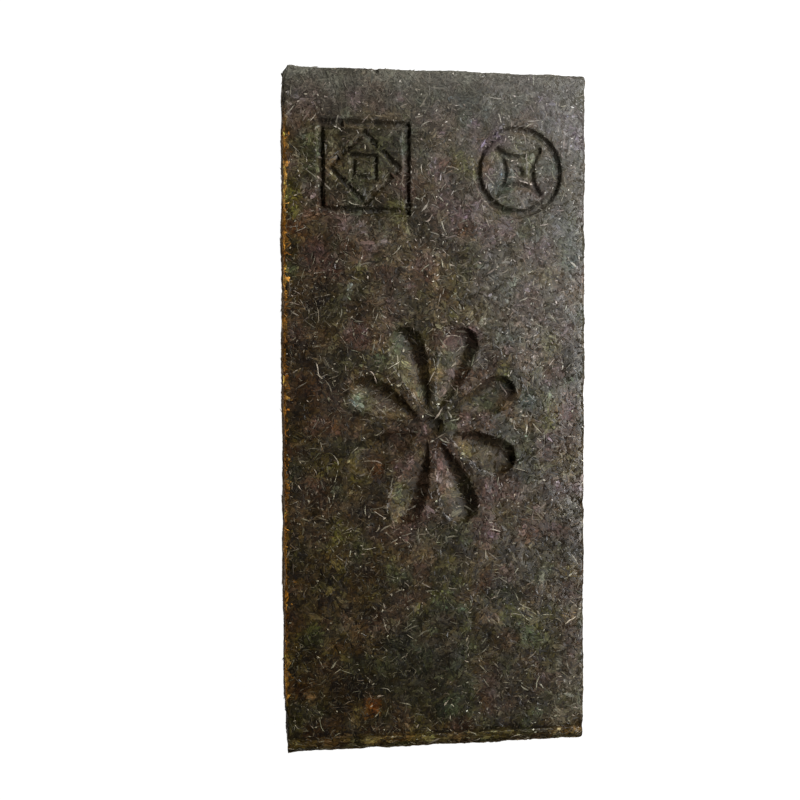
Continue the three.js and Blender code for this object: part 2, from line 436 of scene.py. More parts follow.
tintClouds = {   # size, seed and octaves of the clouds that make the colours uneven
    "blueness": (9, 197), "farEdge": (11, 173, 3), "haze": (12, 193), "warmEnds": (12, 167),
    "warmFade": (8, 181), "sides": (9, 131), "rimEdge": (14, 137, 3), "rim": (9, 139, 3), "crack": (7, 141),
    "tonePatches": (7, 149), "leftEdge": (8, 199), "leftGaps": (5, 163), "greener": (17, 191),
    "redder": (13, 157),
}
leftEdgeShade = {   # painted shade, a darker strip along the left edge: its end and its full part, how dark, and where it stops
    "band": (32, 2), "dark": 0.52, "farEnd": (0.7, 0.25), "nearEnd": (-0.85, -0.2),
}
tonePatches = (   # on the face, patches of their own colour and of painted light: centre, half widths across and along, colour and share
    ((-33, -149), (5, 6), (0.230, 0.080, 0.016), 0.8),
    ((-7, -130), (26, 30), (0.0135, 0.0172, 0.0105), 0.64),
    ((-49, -139), (18, 19), (0.015, 0.0092, 0.0030), 0.68),
    ((-60, 40), (22, 45), (0.027, 0.0145, 0.0055), 0.45),
    ((-37, 121), (24, 24), (0.021, 0.0195, 0.0065), 0.66),
    ((-63, -113), (9, 9), (0.018, 0.024, 0.006), 0.6),
    # painted sheen: the near right corner paler and greyer, where the lamps' sheen reaches
    ((68, -146), (13, 24), (0.105, 0.092, 0.062), 0.5),
    ((-2, 19), (6, 5), (0.150, 0.100, 0.030), 0.5),
    ((34, 20), (4, 7), (0.075, 0.062, 0.008), 0.5),
    ((-60, 8), (7, 9), (0.055, 0.019, 0.006), 0.5),
    ((-70, 130), (7, 15), (0.024, 0.0235, 0.0080), 0.5),
    ((-72, 104), (6, 12), (0.082, 0.0720, 0.0120), 0.6),
    ((-66, 152), (16, 15), (0.110, 0.0800, 0.0630), 0.5),
    ((-72, -157), (6, 13), (0.040, 0.0390, 0.0120), 0.6),
    ((-53, 12), (11, 24), (0.018, 0.0130, 0.0065), 0.6),
    ((-64, -64), (12, 22), (0.021, 0.0165, 0.0072), 0.5),
    ((-32, 92), (24, 9), (0.036, 0.0300, 0.0140), 0.55),
    ((32, 56), (20, 22), (0.072, 0.0600, 0.0330), 0.32),
)
tonePatchEdge = {"band": (1.25, 0.35), "ragged": 0.45}   # in the patch's own half widths
sideTone = {   # the left side's warm colour is strongest near its upper edge; it is partly its own colour and partly painted light
    "all": (0.105, 0.072, 0.036), "share": 0.62, "uneven": 0.3, "power": 0.7,
    # painted light in part: the left side and its rounding are brighter and warmer, as where light falls on
    # them from the left
    "left": (0.72, 0.34, 0.050), "leftShare": 0.92, "leftUneven": 0.25,
    "leftFrom": 0.03, "leftTurn": (0.0, 0.4),   # how far a place has to face left to have it
    "below": 0.12, "fade": (35.0, 37.4), "fadeWander": 1.2,   # its share lower down, and where it grows
    "ends": ((154, 142), (-151, -138)), "endWander": 4,   # how far along the left edge it reaches
}
litEdgeTone = {   # on the face, by its left edge: a warm strip, partly its own colour and partly painted light
    "colour": (0.360, 0.178, 0.024), "greener": (0.170, 0.136, 0.028), "greenerBand": (0.0, 0.3),
    "band": (2.5, -0.4), "share": 0.9, "wander": 1.2,
}
rimPatch = {
    "tones": ((0.145, 0.108, 0.040), (0.152, 0.088, 0.029)), "redderBand": (-0.1, 0.35),
    "band": (1.0, 1.8, 5.2, 6.6),   # from the near end: where it starts, is full, starts to end, and ends
    "wander": 1.5,
    "share": 0.45,
    "variation": 0.8,
    "crack": 1.6, "crackPast": 0.7, "crackBand": (1.0, 0.3),   # painted shade in the crack: its darkness, distance past the end, and edges
    "along": 0.35,   # how far fibres near the rim may turn away from it, in radians
}


def tintCloud(place, name):
    # The cloud that has this name in the list.
    return cloud(place, *tintClouds[name])


def drawn(colour, tone, share):
    # The colour plus its share of the way to the tone.
    return colour + (np.array(tone) - colour) * share[..., None]


def blended(first, second, share):
    # One less the share of the first tone, and the share of the second.
    share = share[..., None]
    return np.array(first) * (1 - share) + np.array(second) * share


def shaded(colour, shade, paling):
    # The colour times e to the shade, which red, green and blue follow each to its own share.
    return colour * np.exp(shade[..., None] * np.array(paling))


# Painted sheen: an even grey that the face is drawn towards in the far right corner, where the lamps shine.
veil = {"tone": (0.058, 0.0560, 0.0465), "share": 0.62, "band": (0.3, 1.4), "rightwards": 0.5,
        "facing": (0, 0.5)}
farHaze = {
    "tone": (0.063, 0.058, 0.049), "share": 0.5, "band": (34, 6), "uneven": 0.9, "least": 0.2,
    "inTone": 0.5,   # how far the tone follows the unevenness, as a power
}
farBand = {"tone": (0.133, 0.132, 0.107), "share": 0.72, "band": (13, -4), "wander": 6, "leftwards": 0.38}


def farRight(place, band=veil["band"]):
    # From nothing to one along the way to the far right corner.
    return smoothStep(*band, place[..., 1] / half[1] + veil["rightwards"] * place[..., 0] / half[0])


def veiled(colour, place, outward, much=1):
    # On the face, the colour is drawn towards an even grey of painted sheen, most in the far right corner,
    # then towards an uneven haze near the far end, and towards a paler tone along the far edge, most at its
    # left.
    facing = smoothStep(*veil["facing"], outward[..., 2]) * much
    colour = drawn(colour, veil["tone"], veil["share"] * farRight(place) * facing)
    fromFar = half[1] - place[..., 1] + farBand["wander"] * tintCloud(place, "farEdge")
    uneven = np.maximum(farHaze["least"], 1 + farHaze["uneven"] * tintCloud(place, "haze"))
    tone = np.array(farHaze["tone"]) * uneven[..., None] ** farHaze["inTone"]
    colour = drawn(colour, tone, farHaze["share"] * smoothStep(*farHaze["band"], fromFar) * facing)
    share = farBand["share"] * smoothStep(*farBand["band"], fromFar) * facing * uneven
    share = share * (1 - farBand["leftwards"] * (1 + place[..., 0] / half[0]))
    return drawn(colour, farBand["tone"], np.clip(share, 0, 1))


litWalls = {   # painted light: the stamps' walls that face the far right, towards the lamps, are paler
    "paler": 0.42, "step": (0.45, 0.2), "slope": (0.08, 0.42),
}


def wallLight(place):
    # Painted light on the walls that face the lamps: how much deeper the stamps get over about one
    # millimetre towards the far right.
    x, y = place[..., 0], place[..., 1]
    stepX, stepY = litWalls["step"]
    growing = stampDepth(x + stepX, y + stepY) - stampDepth(x - stepX, y - stepY)
    return litWalls["paler"] * smoothStep(*litWalls["slope"], growing)


def sheenAndShadeTint(place, outward):
    # On the face, e to a slope along each axis, in red, green and blue, less the near end's darkness:
    # painted sheen greys the right and the far end, and painted shade darkens the near end.
    start, rightStop, darker = patch["nearEnd"]
    nearShade = smoothStep(*start, place[..., 1]) * smoothStep(*rightStop, place[..., 0])
    sheenSlopes = place[..., :2] / half[:2] @ np.array(patch["sheenGreying"])
    facing = smoothStep(*patch["facing"], outward[..., 2])[..., None]
    return np.exp((sheenSlopes - nearShade[..., None] * np.array(darker)) * facing)


def facingUp(outward):
    # Three times the upward part of the direction, at most one.
    return np.clip(outward[..., 2] * 3, 0, 1)


def facingLeft(outward):
    # Nothing on the face, full where the left edge is turned by about a quarter of a right angle.
    return smoothStep(*sideTone["leftTurn"], -outward[..., 0] - sideTone["leftFrom"])


def paletteMix(place):
    # Each tone has its own cloud, and its weight in the mix is e to the sharpness times the sum of that
    # cloud and its favour. One more cloud makes the mix bluer or yellower.
    tones, seeds, favours = zip(*palette.values())
    weights = [
        np.exp(patch["sharpness"] * (cloud(place, patch["size"], seed) + favour))
        for seed, favour in zip(seeds, favours)
    ]
    weights = np.stack(weights, axis=-1)
    weights /= weights.sum(axis=-1, keepdims=True)
    mix = weights @ np.array(tones)
    bluer, channels = patch["blueness"]
    return mix * np.exp(bluer * tintCloud(place, "blueness")[..., None] * channels)


def warmReach(place):
    # How much of the left side's warm colour a place has: all of it by the upper edge between the ends,
    # and a small share of that lower down. That warm colour is partly painted light.
    along = place[..., 1] + sideTone["endWander"] * tintCloud(place, "warmEnds")
    farEnd, nearEnd = sideTone["ends"]
    reach = smoothStep(*farEnd, along) * smoothStep(*nearEnd, along)
    height = place[..., 2] + sideTone["fadeWander"] * tintCloud(place, "warmFade")
    upper = smoothStep(*sideTone["fade"], height)
    return reach * (sideTone["below"] + (1 - sideTone["below"]) * upper)


def withSides(mix, place, outward, warm):
    # The sides and the back are browner by how far they turn from the face, and the left is warm,
    # partly from painted light.
    uneven = tintCloud(place, "sides")
    turned = np.clip(1 - np.abs(outward[..., 2]), 0, 1)
    share = turned ** sideTone["power"] * (sideTone["share"] + sideTone["uneven"] * uneven)
    warmLeft = facingLeft(outward) * warm
    share = np.maximum(share, warmLeft * (sideTone["leftShare"] + sideTone["leftUneven"] * uneven))
    return drawn(mix, blended(sideTone["all"], sideTone["left"], warmLeft), np.clip(share, 0, 1))


def withTonePatches(mix, place, outward):
    # Each patch fades out with the distance from its centre in its own half widths, and its edge is ragged.
    ragged, onTop = tonePatchEdge["ragged"] * tintCloud(place, "tonePatches"), facingUp(outward)
    for centre, wide, colour, share in tonePatches:
        away = np.linalg.norm((place[..., :2] - centre) / wide, axis=-1) + ragged
        mix = drawn(mix, colour, share * smoothStep(*tonePatchEdge["band"], away) * onTop)
    return mix


def withLeftEdge(mix, place, outward, warm):
    # A narrow strip of the face along its left edge is warm, partly its own colour and partly painted light,
    # greener in places, with a wandering border.
    fromLeft = place[..., 0] + half[0] + litEdgeTone["wander"] * tintCloud(place, "leftEdge")
    share = smoothStep(*litEdgeTone["band"], fromLeft) * litEdgeTone["share"] * (1 + tintCloud(place, "leftGaps"))
    share = share * warm * facingUp(outward) * (1 - facingLeft(outward))
    greener = smoothStep(*litEdgeTone["greenerBand"], tintCloud(place, "greener"))
    return drawn(mix, blended(litEdgeTone["colour"], litEdgeTone["greener"], greener), np.clip(share, 0, 1))


def withRim(mix, place, outward, fromEnd):
    # A paler band near the near end, redder in places.
    start, full, fade, end = rimPatch["band"]
    share = smoothStep(start, full, fromEnd) * smoothStep(end, fade, fromEnd) * facingUp(outward)
    share = share * (rimPatch["share"] + rimPatch["variation"] * tintCloud(place, "rim"))
    redder = smoothStep(*rimPatch["redderBand"], tintCloud(place, "redder"))
    return drawn(mix, blended(*rimPatch["tones"], redder), np.clip(share, 0, 1))


def patchShade(place, outward, fromEnd):
    # Clouds of several sizes, evener in the far right, with painted light that drifts lighter to the right
    # and the far end. Painted light makes the stamps' walls that face the lamps lighter, and painted shade
    # makes the left edge and the crack behind the rim darker.
    shade = 0
    for shadeSize, strength in patch["shades"]:
        shade = shade + strength * cloud(place, shadeSize, patch["shadeSeed"] + shadeSize, 1)
    band, evener = patch["evener"]
    shade = shade * (1 - evener * farRight(place, band))
    # Painted light: the face gets lighter towards the right and the far end, where the lamps are.
    rightLight, farLight = patch["lightDrift"]
    shade = shade + rightLight * place[..., 0] / half[0] + farLight * place[..., 1] / half[1]
    shade = shade + wallLight(place) * facingUp(outward)

    along = place[..., 1] / half[1]
    strip = leftEdgeShade["dark"] * smoothStep(*leftEdgeShade["farEnd"], along)
    strip = strip * smoothStep(*leftEdgeShade["nearEnd"], along) * np.abs(outward[..., 2])
    strip = strip * smoothStep(*leftEdgeShade["band"], place[..., 0] + half[0])
    # Painted shade in the crack behind the rim.
    beyond = np.abs(fromEnd - rimPatch["band"][-1] - rimPatch["crackPast"])
    crack = smoothStep(*rimPatch["crackBand"], beyond) * facingUp(outward)
    return shade - strip - crack * rimPatch["crack"] * (0.5 + 0.5 * tintCloud(place, "crack"))


def patchColour(place, outward):
    # A mix of tones, then the sides, the tone patches, the left edge and the rim over it, greyer towards
    # the right and the far end with painted sheen and darker at the near end with painted shade, and
    # darkened and lightened by the shade, which holds painted light as well as uneven tone.
    warm = warmReach(place)
    fromEnd = place[..., 1] + size[1] / 2 + rimPatch["wander"] * tintCloud(place, "rimEdge")
    mix = withSides(paletteMix(place), place, outward, warm)
    mix = withTonePatches(mix, place, outward)
    mix = withLeftEdge(mix, place, outward, warm)
    mix = withRim(mix, place, outward, fromEnd)
    return shaded(mix * sheenAndShadeTint(place, outward), patchShade(place, outward, fromEnd), patch["paling"])


grading = {"samples": 8001, "blur": 81}   # points along a line, and over how many its spacing is blurred

body = {
    "across": (1.05, ((-62, -12, 0.66), (18, 66, 0.66))),   # spacing, and from where to where it is finer
    "along": (1.45, ((96, 146, 0.66), (-64, 48, 1.02))),
    "down": (2.6, ()),
    "edge": (3.4, 0.7),   # how near to an edge it is finer, and how fine
    "back": (1.6, 3.0),   # inset and spacing of the net over the back
    "mapScale": 1 / 420,
    "mapGap": 0.008,
    "gapShade": (0.50, 0.88),   # painted shade: how bright it is between the shreds, and how bright in the far right corner
    "gapShadeFacing": (0.5, 0.9),
    "gapShadeInStamps": 0.5,
}


def gradedLine(reach, coarse, zones):
    # Places from one side to the other whose spacing is fine near both ends and inside the zones. The
    # places are counted by one over the blurred spacing, and whole counts give the places.
    spots = np.linspace(-reach, reach, grading["samples"])
    nearEdge, edge = body["edge"]
    step = np.where(np.minimum(spots + reach, reach - spots) < nearEdge, edge, coarse)
    for low, high, spacing in zones:
        step = np.where((spots > low) & (spots < high), np.minimum(step, spacing), step)
    kernel = np.ones(grading["blur"]) / grading["blur"]
    step = np.convolve(np.pad(step, grading["blur"] // 2, mode="edge"), kernel, mode="valid")
    count = np.concatenate([[0], np.cumsum(0.5 * (1 / step[1:] + 1 / step[:-1]) * np.diff(spots))])
    whole = int(round(count[-1]))
    return np.interp(np.linspace(0, count[-1], whole + 1), count, spots)


def makeMesh(name, points, faces, sharpAngle=None):
    # Points in millimetres and faces with equally many corners, put into the mesh as whole arrays.
    mesh = bpy.data.meshes.new(name)
    points = np.ascontiguousarray(points * mm, dtype=np.float32)
    count, corners = faces.shape
    mesh.vertices.add(len(points))
    mesh.vertices.foreach_set("co", points.ravel())
    mesh.loops.add(count * corners)
    mesh.loops.foreach_set("vertex_index", faces.ravel().astype(np.int32))
    mesh.polygons.add(count)
    mesh.polygons.foreach_set("loop_start", np.arange(0, count * corners, corners, dtype=np.int32))
    mesh.polygons.foreach_set("use_smooth", np.full(count, True))
    mesh.update(calc_edges=True)
    if sharpAngle is not None:
        mesh.set_sharp_from_angle(angle=math.radians(sharpAngle))
    return mesh


mattness = {"turned": (0.95, 0.5), "stamps": 0.4}   # where the sides get matt, and how matt the stamps are


def paint(mesh, colours, place, outward):
    # Each point's colour, and as its fourth number how matt it is: the sides and the stamps are.
    layer = mesh.color_attributes.new("tint", "FLOAT_COLOR", "POINT")
    matt = smoothStep(*mattness["turned"], np.abs(outward[..., 2]))
    matt = np.maximum(matt, mattness["stamps"] * stampShare(place))
    rgba = np.concatenate([colours, matt[:, None]], axis=1)
    layer.data.foreach_set("color", np.ascontiguousarray(rgba, dtype=np.float32).ravel())


def layMap(mesh, uv):
    # A place on the map for each corner of each face.
    layer = mesh.uv_layers.new(name="OFBake", do_init=False)
    layer.uv.foreach_set("vector", np.ascontiguousarray(uv, dtype=np.float32).ravel())


def backNet(border, borderIndex, firstNew):
    # Triangles between the lowest ring and an even grid of new points inside it.
    inset, spacing = body["back"]
    lines = [np.linspace(inset - reach, reach - inset, int(2 * reach / spacing)) for reach in half[:2]]
    inner = np.stack(np.meshgrid(*lines, indexing="ij"), axis=-1).reshape(-1, 2)
    count = len(border)
    edges = [(i, (i + 1) % count) for i in range(count)]
    insideOnly, closest = 1, 1e-5
    net = delaunay_2d_cdt(
        [Vector(p) for p in np.concatenate([border, inner])], edges, [], insideOnly, closest)
    spots, triangles = np.array([tuple(p) for p in net[0]]), np.array(net[2])[:, ::-1]
    cameFrom = np.array([ids[0] for ids in net[3]])
    new = cameFrom >= count
    index = borderIndex[np.where(new, 0, cameFrom)]
    index[new] = firstNew + np.arange(new.sum())
    points = np.concatenate([spots[new], np.full((new.sum(), 1), -half[2])], axis=1)
    return points, index[triangles]


def boxLattice():
    # The sharp box's points and triangles: a graded grid on the face, rings of it down the sides, and
    # a coarser net over the back.
    x, y = gradedLine(half[0], *body["across"]), gradedLine(half[1], *body["along"])
    nx, ny = len(x), len(y)
    gx, gy = np.meshgrid(x, y, indexing="ij")
    face = np.stack([gx, gy, np.full_like(gx, half[2])], axis=-1).reshape(-1, 3)
    index = np.arange(nx * ny).reshape(nx, ny)
    quads = np.stack([index[:-1, :-1], index[1:, :-1], index[1:, 1:], index[:-1, 1:]], axis=-1)

    around = np.concatenate([index[:-1, 0], index[-1, :-1], index[:0:-1, -1], index[0, :0:-1]])
    z = gradedLine(half[2], *body["down"])[::-1]
    rings = np.repeat(face[around][None], len(z) - 1, axis=0)
    rings[..., 2] = z[1:, None]
    ringIndex = nx * ny + np.arange(rings[..., 0].size).reshape(len(rings), -1)
    ringIndex = np.concatenate([around[None], ringIndex])
    nextOne = np.roll(ringIndex, -1, axis=1)
    sideQuads = np.stack([ringIndex[:-1], ringIndex[1:], nextOne[1:], nextOne[:-1]], axis=-1)

    points = np.concatenate([face, rings.reshape(-1, 3)])
    backPoints, backFaces = backNet(rings[-1][:, :2], ringIndex[-1], len(points))
    quads = np.concatenate([quads.reshape(-1, 4), sideQuads.reshape(-1, 4)])
    faces = np.concatenate([quads[:, [0, 1, 2]], quads[:, [0, 2, 3]], backFaces])
    print("body lattice", nx, "x", ny, "faces", len(faces))
    return np.concatenate([points, backPoints]), faces


def bodyMap(corners):
    # Each side of the box has its own field of the map, and a triangle lies in the field of the side
    # that its middle is nearest to: the face and the back, then left and right, then near and far.
    centre = corners.mean(axis=1)
    axis = (np.abs(centre) - half).argmax(axis=1)
    positive = centre[np.arange(len(centre)), axis] > 0
    across, along, up = np.moveaxis(corners * body["mapScale"], -1, 0)
    wide, long, high = half * body["mapScale"]
    gap = body["mapGap"]
    fields = {
        (2, True): (wide + gap + across, long + gap + along),
        (2, False): (3 * wide + 2 * gap - across, long + gap + along),
        (0, False): (4 * wide + 3 * gap + high + up, long + gap + along),
        (0, True): (4 * wide + 4 * gap + 3 * high + up, long + gap + along),
        (1, False): (wide + gap + across, 2 * long + 2 * gap + high + up),
        (1, True): (3 * wide + 2 * gap + across, 2 * long + 2 * gap + high + up),
    }
    uv = np.zeros(corners.shape[:2] + (2,))
    for (fieldAxis, fieldSide), field in fields.items():
        chosen = (axis == fieldAxis) & (positive == fieldSide)
        uv[chosen] = np.stack(field, axis=-1)[chosen]
    return uv


def makeBody():
    # The box's lattice, every point of it put through brickSurface. The body is darkened with painted shade
    # where it shows between the shreds on the face, less so in the far right corner and in the stamps.
    points, faces = boxLattice()
    place, outward = brickSurface(points)
    mesh = makeMesh("brick body", place, faces)
    gapShade = np.interp(farRight(place), (0, 1), body["gapShade"])
    gapShade = 1 + (gapShade - 1) * smoothStep(*body["gapShadeFacing"], outward[..., 2])
    gapShade = gapShade + (1 - gapShade) * body["gapShadeInStamps"] * stampShare(place)
    colour = veiled(patchColour(place, outward), place, outward) * gapShade[..., None]
    paint(mesh, colour, place, outward)
    layMap(mesh, bodyMap(points[faces]))
    return mesh


noises = {   # the detail and roughness of each noise, and the part of its values that is drawn out
    "grain": (4, 0.65, (0.32, 0.7)), "streaks": (2, 0.5, (0.3, 0.7)), "gloss": (3, 0.6, (0.3, 0.7)),
}


def teaMaterial(name, look):
    # The piece's own tint, broken up by a fine grain and on flakes by streaks, with a bumpy surface that
    # is glossier and duller in patches, and matt where the tint's fourth number says so.
    material = bpy.data.materials.new(name)
    material.use_nodes = True
    nodes, links = material.node_tree.nodes, material.node_tree.links

    def fill(node, values):
        # A value that is a socket is linked, and any other is set.
        for socket, value in values.items():
            if isinstance(value, bpy.types.NodeSocket):
                links.new(value, node.inputs[socket])
            else:
                node.inputs[socket].default_value = value

    def add(kind, output, values, **settings):
        node = nodes.new(kind)
        for setting, choice in settings.items():
            setattr(node, setting, choice)
        fill(node, values)
        return node.outputs[output]

    def noise(kind, vector, scale):
        detail, rough = noises[kind][:2]
        return add("ShaderNodeTexNoise", "Fac", {
            "Vector": vector, "Scale": scale, "Detail": detail, "Roughness": rough,
        })

    def remap(kind, source, low, high):
        least, most = noises[kind][-1]
        return add("ShaderNodeMapRange", "Result", {
            "Value": source, "From Min": least, "From Max": most, "To Min": low, "To Max": high,
        })

    place = add("ShaderNodeTexCoord", "Object", {})
    colour = add("ShaderNodeAttribute", "Color", {}, attribute_name="tint")
    matt = colour.node.outputs["Alpha"]
    grain = noise("grain", place, 1 / mm / look["grain"])
    strength = remap("grain", grain, 1 - look["contrast"], 1 + look["contrast"])
    if look["streaks"]:
        # Streaks along each flake, from a noise that is drawn out along the flake's own map.
        own = add("ShaderNodeUVMap", "UV", {}, uv_map="OFBake")
        drawnOut = add("ShaderNodeMapping", "Vector", {"Vector": own, "Scale": (*look["streakScale"], 1)})
        streaks = noise("streaks", drawnOut, 1)
        streaks = remap("streaks", streaks, 1 - look["streaks"], 1 + look["streaks"])
        strength = add("ShaderNodeMath", "Value", {0: strength, 1: streaks}, operation="MULTIPLY")
    colour = add("ShaderNodeVectorMath", "Vector", {0: colour, "Scale": strength}, operation="SCALE")
    gloss = noise("gloss", place, 1 / mm / look["glossPatch"])
    gloss = remap("gloss", gloss, look["roughLow"], look["roughHigh"])
    rough = add("ShaderNodeMix", "Result", {"Factor": matt, "A": gloss, "B": look["roughSide"]})
    bump = {"Height": grain, "Strength": look["bump"], "Distance": look["bumpDepth"] * mm}
    fill(nodes["Principled BSDF"], {
        "Base Color": colour,
        "Roughness": rough,
        "Specular IOR Level": look["specular"],
        "Normal": add("ShaderNodeBump", "Normal", bump),
    })
    return material


def addPiece(name, mesh, material, replaces=None):
    # One object at the origin, which rides on the brick.
    mesh.materials.append(material)
    piece = bpy.data.objects.new(name, mesh)
    bpy.context.scene.collection.objects.link(piece)
    if replaces:
        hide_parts(replaces)
    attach(piece, "root")


bodyLook = {
    "specular": 0.18, "grain": 1.3, "contrast": 0.55, "glossPatch": 5,
    "roughLow": 0.5, "roughHigh": 0.8, "roughSide": 0.95, "bump": 0.4, "bumpDepth": 0.4, "streaks": 0,
}
addPiece("brick_body", makeBody(), teaMaterial("matted tea", bodyLook), "tea_brick")
print("body ready")


def foldOntoBox(flat, axis, side):
    # What runs past an edge of its side of the box is turned down over that edge.
    rows = np.arange(len(flat))[:, None]
    excess = np.clip(np.abs(flat) - half, 0, None)
    own = np.zeros_like(flat)
    own[rows, np.arange(flat.shape[1])[None], axis[:, None]] = 1
    down = (excess * (1 - own)).sum(axis=-1)
    folded = np.clip(flat, -half, half)
    height = side[:, None] * (half[axis][:, None] - down)
    return folded * (1 - own) + own * height[..., None]


sides = (   # axis, sign, the two axes along it
    (2, 1, 0, 1),
    (2, -1, 0, 1),
    (0, 1, 1, 2),
    (0, -1, 1, 2),
    (1, 1, 0, 2),
    (1, -1, 0, 2),
)


def sow(rng, counts):
    # Jittered points on each side of the box: one in each cell of an even grid, in a shuffled order.
    spots, axes, signs, firsts, seconds = [], [], [], [], []
    for (axis, sign, first, second), count in zip(sides, counts):
        across = max(1, int(round(math.sqrt(count * half[first] / half[second]))))
        down = max(1, int(round(count / across)))
        a, b = np.meshgrid(np.arange(across), np.arange(down), indexing="ij")
        share = np.stack([a.ravel() / across, b.ravel() / down], axis=-1)
        share += rng.random(share.shape) / [across, down]
        rng.shuffle(share)
        flat = np.zeros((len(share), 3))
        flat[:, first] = (2 * share[:, 0] - 1) * half[first]
        flat[:, second] = (2 * share[:, 1] - 1) * half[second]
        flat[:, axis] = sign * half[axis]
        spots.append(flat)
        for store, value in ((axes, axis), (signs, sign), (firsts, first), (seconds, second)):
            store.append(np.full(len(share), value))
    return [np.concatenate(store) for store in (spots, axes, signs, firsts, seconds)]


def keepOnly(keep, *stores):
    # The chosen rows of each array.
    return [values[keep] for values in stores]


crowding = {"seed": 200, "strength": 1.6, "rightwards": 0.5}


def sowKind(rng, kind):
    # A kind that is grouped is thinned by a cloud, by chance and by how far to the far right a place is.
    sown = sow(rng, kind["counts"])
    if not kind["grouping"]:
        return sown
    flat = sown[0]
    crowd = cloud(flat, kind["groupSize"], crowding["seed"] + kind["seed"]) * crowding["strength"]
    crowd = crowd + rng.random(len(flat)) - 0.5
    across, along = crowding["rightwards"] * flat[:, 0] / half[0], flat[:, 1] / half[1]
    crowd = crowd - kind["nearwards"] * (along + across)
    return keepOnly(crowd > np.quantile(crowd, kind["grouping"]), *sown)


def spread(rng, count, low, high):
    # Evenly random values from low to high.
    return low + (high - low) * rng.random(count)


def unevenly(rng, kind, shape):
    # One plus a random share, normally spread and cut off at a limit.
    limit = kind["raggedLimit"]
    return 1 + kind["ragged"] * rng.normal(0, 1, shape).clip(-limit, limit)


def capped(first, rings, last):
    # The numbers of the shreds' first points, rings and last points side by side.
    return np.concatenate([first, rings, last], axis=1)


def flakeCorners(rng, kind, length, width, lift):
    # A flake is a ring of corners above the surface, tilted a little, with a middle point above it and
    # one sunk below it.
    count, corners = len(length), kind["corners"]
    jitter = spread(rng, (count, corners), -kind["jitter"], kind["jitter"])
    turn = 2 * math.pi * (np.arange(corners)[None] + jitter) / corners
    reach = unevenly(rng, kind, (count, corners))
    along = 0.5 * length[:, None] * np.cos(turn) * reach
    across = width[:, None] * np.sin(turn) * reach
    tilt = rng.normal(0, kind["tilt"], (count, 2, 1))
    slope = tilt[:, 0] * along / length[:, None] + tilt[:, 1] * across / (2 * width[:, None])
    middle = np.zeros((count, 1))
    domeShare, domeHeight = kind["dome"]
    top = lift[:, None] * domeShare + domeHeight
    along, across = capped(middle, along, middle), capped(middle, across, middle)
    above = capped(middle - kind["sink"], lift[:, None] + slope, top)
    return along, across, above, np.linspace(0, 1, 3), corners


def fibreCorners(rng, kind, length, width, lift):
    # A fibre is rings of three along a line, which is bent as a parabola and kinked as a sine, drawn in
    # at both ends. Some have an end that rises.
    count, rings, sink = len(length), kind["rings"], kind["sink"]
    t = np.linspace(0, 1, rings + 2)
    bend = rng.normal(0, kind["bend"], count)
    frayed = rng.random(count) < kind["frayShare"]
    frayed = frayed * spread(rng, count, kind["leastFray"], 1) * kind["fray"]
    centre = (t[None] - 0.5) * length[:, None]
    sway = bend[:, None] * length[:, None] * ((2 * t[None] - 1) ** 2 - kind["bendMiddle"])
    kink = rng.normal(0, kind["kink"], count)
    sway = sway + kink[:, None] * length[:, None] * np.sin(2 * math.pi * t[None])
    tip, frayFrom = kind["tip"], kind["frayFrom"]
    wide = width[:, None] * np.sin(math.pi * np.clip(t, tip, 1 - tip)) ** kind["fullness"]
    wide = wide * unevenly(rng, kind, (count, rings + 2))
    rise = frayed[:, None] * np.clip((t[None] - frayFrom) / (1 - frayFrom), 0, 1) ** kind["frayCurl"]
    crest = lift[:, None] * np.sin(math.pi * t[None]) ** kind["crest"]
    side, standing = np.array([1, 0, -1]), np.array([0, 1, 0])   # of the three corners of each ring
    inner = slice(1, -1)
    along = np.repeat(centre[:, inner, None], len(side), axis=2).reshape(count, -1)
    across = (sway[:, inner, None] + wide[:, inner, None] * side).reshape(count, -1)
    above = rise[:, inner, None] + crest[:, inner, None] * standing - sink * (1 - standing)
    above = above.reshape(count, -1)
    ends = rise - kind["tipSink"] * sink
    along = capped(centre[:, :1], along, centre[:, -1:])
    across = capped(sway[:, :1], across, sway[:, -1:])
    return along, across, capped(ends[:, :1], above, ends[:, -1:]), t, len(side)


def shredCorners(rng, kind, count):
    # The shred's corners before it is laid down: along and across its own axis, and above the surface.
    # Short lengths are the commonest.
    shortest, longest = kind["length"]
    length = shortest + (longest - shortest) * rng.random(count) ** kind["shorter"]
    width = spread(rng, count, *kind["width"]) / 2
    lift = spread(rng, count, *kind["lift"])
    return (flakeCorners if kind["flake"] else fibreCorners)(rng, kind, length, width, lift)


sideways = 0.42   # how far shreds on the sides turn away from level, in radians


def shredAngles(rng, flat, axis, onFace):
    # Any way round on the face and the back, about level on the sides, and near the rim about along it.
    count = len(flat)
    angle = rng.random(count) * 2 * math.pi
    level = rng.normal(0, sideways, count) + math.pi * (rng.random(count) > 0.5)
    nearRim = onFace & (flat[:, 1] < rimPatch["band"][-1] - half[1])
    angle = np.where(axis != 2, level, angle)
    return np.where(nearRim, rng.normal(0, rimPatch["along"], count), angle)


def layOut(flat, along, across, angle, first, second, flipped):
    # Each corner's place on the sharp box: the shred's own place, plus along and across by its angle.
    # Seen from outside, the corners run the same way round on every side.
    rows = np.arange(len(flat))
    alongAxis, acrossAxis = np.zeros_like(flat), np.zeros_like(flat)
    alongAxis[rows, first] = np.cos(angle)
    alongAxis[rows, second] = np.sin(angle)
    acrossAxis[rows, first] = -np.sin(angle)
    acrossAxis[rows, second] = np.cos(angle)
    acrossAxis = acrossAxis * np.where(flipped, -1, 1)[:, None]
    chart = flat[:, None] + along[..., None] * alongAxis[:, None]
    return chart + across[..., None] * acrossAxis[:, None]


